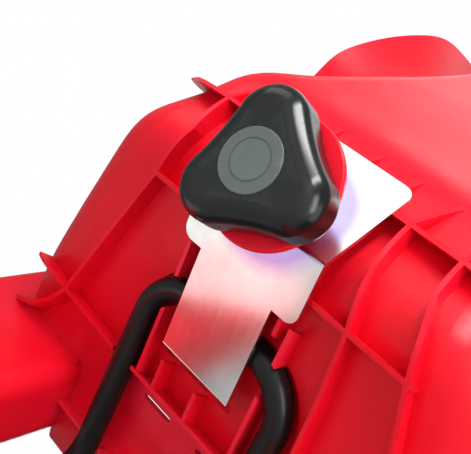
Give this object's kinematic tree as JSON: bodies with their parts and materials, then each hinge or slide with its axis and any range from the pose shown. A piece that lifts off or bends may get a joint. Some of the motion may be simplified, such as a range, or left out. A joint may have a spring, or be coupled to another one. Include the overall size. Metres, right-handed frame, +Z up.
{
  "type": "reclining child bicycle seat",
  "caption": "Moulded child bicycle seat on a bent support bar with a seat-tube clamp, and a three-lobed knob that clamps a bent plate to set the recline.",
  "frame": {"origin": "middle of the clamp bore that grips the bicycle's seat tube", "axes": "+Z up, -Y towards the front of the bicycle, +X on the seated child's left"},
  "size_m": [0.4336, 0.5935, 0.872],
  "materials": {
    "red_plastic": "gloss moulded",
    "knob_black": "satin",
    "knob_grey": "satin",
    "zinc_plate": "zinc plated",
    "black_tube": "semi gloss powder coat",
    "block_black": "fine texture",
    "steel": "plated",
    "brass": "machined",
    "nylon": "moulded",
    "strap_rubber": "matte",
    "reflector_red": "clear red",
    "pad_fabric": "woven"
  },
  "bodies": {
    "mount": {"frame_block": "block_black", "clamp_jaw": "block_black", "clamp_screws": "steel", "clamp_nuts": "steel", "support_bar": "black_tube", "bar_end_plugs": "block_black", "button_spring": "steel"},
    "button": {"release_button": "red_plastic"},
    "seat": {"seat_shell": "red_plastic", "leg_guard_left": "red_plastic", "leg_guard_right": "red_plastic", "guard_screws": "steel", "pivot_saddle": "nylon", "clamp_bolt": "steel", "release_spring": "steel", "reflector_base": "block_black", "reflector_lens": "reflector_red", "pan_pad": "pad_fabric", "back_pad": "pad_fabric"},
    "clamp": {"clamp_plate": "zinc_plate", "clamp_pad": "nylon", "clamp_disc": "red_plastic", "knob_washer": "steel"},
    "knob": {"knob_body": "knob_black", "knob_cap": "knob_grey", "knob_insert": "brass"},
    "foot_left": {"footrest_left": "block_black", "foot_strap_left": "strap_rubber"},
    "foot_right": {"footrest_right": "block_black", "foot_strap_right": "strap_rubber"}
  },
  "joints": [
    {"name": "recline", "type": "hinge", "parent": "mount", "child": "seat", "pos_m": [0, 0.3, 0.11], "axis": [-1, 0, 0], "range_deg": [0, 18]},
    {"name": "clamp_lift", "type": "slide", "parent": "seat", "child": "clamp", "axis": [0, 0.2756, -0.9613], "range_m": [0, 0.00251]},
    {"name": "knob_turn", "type": "hinge", "parent": "clamp", "child": "knob", "pos_m": [0, 0.38602, 0.08983], "axis": [0, 0.2756, -0.9613], "range_deg": [0, 720]},
    {"name": "button_press", "type": "slide", "parent": "mount", "child": "button", "axis": [0, -1, 0], "range_m": [0, 0.004], "stiffness_N_per_m": 900, "springref_m": -0.002},
    {"name": "footrest_slide_left", "type": "slide", "parent": "seat", "child": "foot_left", "axis": [0, -0.1564, -0.9877], "range_m": [-0.05, 0.075]},
    {"name": "footrest_slide_right", "type": "slide", "parent": "seat", "child": "foot_right", "axis": [0, -0.1564, -0.9877], "range_m": [-0.05, 0.075]}
  ],
  "couplings": [
    {"joint": "clamp_lift", "follows": "knob_turn", "m_per_rad": 0.00019894}
  ]
}
